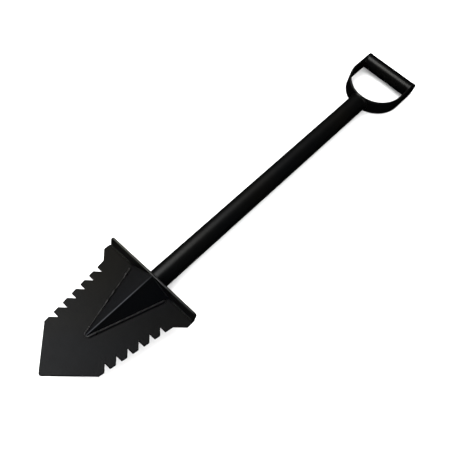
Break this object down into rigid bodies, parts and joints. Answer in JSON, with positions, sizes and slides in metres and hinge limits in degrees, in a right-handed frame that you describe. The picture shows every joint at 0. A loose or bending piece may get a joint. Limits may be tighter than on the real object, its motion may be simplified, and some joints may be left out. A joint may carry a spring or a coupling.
{
  "type": "detecting shovel",
  "caption": "Compact all-steel digging shovel with a pointed blade notched along both sides, a tread plate, a tube shaft and a D handle.",
  "frame": {"origin": "under the middle of the box around the whole shovel, on the surface that it lies on", "axes": "+Y runs from the blade's point to the handle, +Z is the blade's front side (up, as the shovel lies on its back), +X is across the blade"},
  "size_m": [0.168, 0.817, 0.0498],
  "materials": {
    "powder_coat": "satin black powder coat on steel plate and tube",
    "grip_coat": "smoother, semi-gloss black powder coat on the grip",
    "weld_coat": "black powder coat over rippled weld beads"
  },
  "bodies": {
    "root": {"blade": "powder_coat", "foot_plate": "powder_coat", "gusset": "powder_coat", "shaft_tube": "powder_coat", "shaft_end_cap": "powder_coat", "handle_strap": "powder_coat", "grip_tube": "grip_coat", "gusset_weld_right": "weld_coat", "gusset_weld_left": "weld_coat", "gusset_top_weld_right": "weld_coat", "gusset_top_weld_left": "weld_coat", "foot_plate_weld_right": "weld_coat", "foot_plate_weld_left": "weld_coat", "foot_plate_back_weld_right": "weld_coat", "foot_plate_back_weld_left": "weld_coat", "tread_weld": "weld_coat", "shaft_weld_right": "weld_coat", "shaft_weld_left": "weld_coat", "cap_weld_right": "weld_coat", "cap_weld_left": "weld_coat", "cap_tip_weld": "weld_coat", "strap_weld": "weld_coat", "grip_weld_right": "weld_coat", "grip_weld_left": "weld_coat"}
  },
  "joints": []
}
